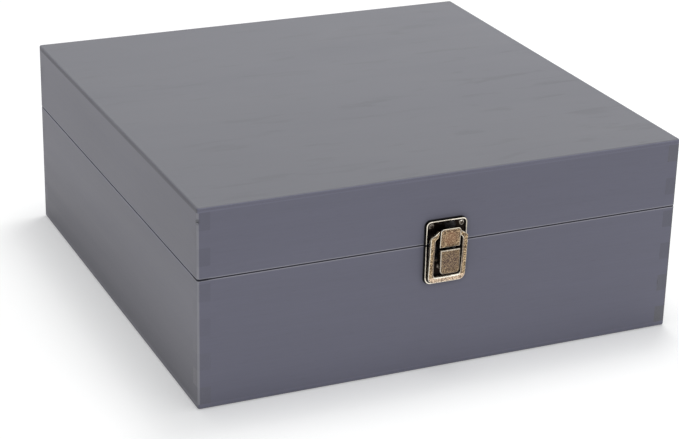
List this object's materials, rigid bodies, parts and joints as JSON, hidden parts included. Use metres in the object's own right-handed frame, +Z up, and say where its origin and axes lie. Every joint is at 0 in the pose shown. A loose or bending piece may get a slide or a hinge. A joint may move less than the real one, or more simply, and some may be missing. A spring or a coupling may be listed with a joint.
{
  "type": "memory box",
  "caption": "Square hinged wooden box with finger-jointed walls and a draw latch on the front, for papers and keepsakes.",
  "frame": {"origin": "centre of the underside, on the surface that the box rests on", "axes": "+X across the box to the right seen from the front, -Y out of the latch side, +Z up"},
  "size_m": [0.3, 0.3132, 0.12],
  "materials": {
    "stained_board": "matt grey stain, open grain",
    "stained_plywood": "matt grey stain on plywood",
    "antique_bronze": "antiqued bronze plate, rubbed edges",
    "screw_bronze": "antiqued bronze plate"
  },
  "bodies": {
    "base": {"base_front_board": "stained_board", "base_back_board": "stained_board", "base_left_board": "stained_board", "base_right_board": "stained_board", "bottom_panel": "stained_plywood", "left_hinge_base_leaf": "antique_bronze", "left_hinge_base_screws": "screw_bronze", "left_hinge_pin": "screw_bronze", "right_hinge_base_leaf": "antique_bronze", "right_hinge_base_screws": "screw_bronze", "right_hinge_pin": "screw_bronze", "latch_base_plate": "antique_bronze", "latch_base_screws": "screw_bronze", "latch_lever_pin": "screw_bronze"},
    "lid": {"lid_front_board": "stained_board", "lid_back_board": "stained_board", "lid_left_board": "stained_board", "lid_right_board": "stained_board", "top_panel": "stained_plywood", "left_hinge_lid_leaf": "antique_bronze", "left_hinge_lid_screws": "screw_bronze", "right_hinge_lid_leaf": "antique_bronze", "right_hinge_lid_screws": "screw_bronze", "latch_lid_plate": "antique_bronze", "latch_lid_screws": "screw_bronze"},
    "lever": {"latch_lever": "antique_bronze"},
    "ring": {"latch_ring": "antique_bronze", "latch_ring_pin": "screw_bronze"}
  },
  "joints": [
    {"name": "lid_hinge", "type": "hinge", "parent": "base", "child": "lid", "pos_m": [0, 0.1523, 0.078], "axis": [-1, 0, 0], "range_deg": [0, 104]},
    {"name": "latch_lever", "type": "hinge", "parent": "base", "child": "lever", "pos_m": [-0.0017, -0.155, 0.0739], "axis": [-1, 0, 0], "range_deg": [0, 110]},
    {"name": "latch_ring", "type": "hinge", "parent": "lever", "child": "ring", "pos_m": [-0.0017, -0.1538, 0.0695], "axis": [-1, 0, 0], "range_deg": [-86, 0]}
  ],
  "couplings": [
    {"joint": "latch_ring", "follows": "latch_lever", "ratio": -0.77}
  ]
}
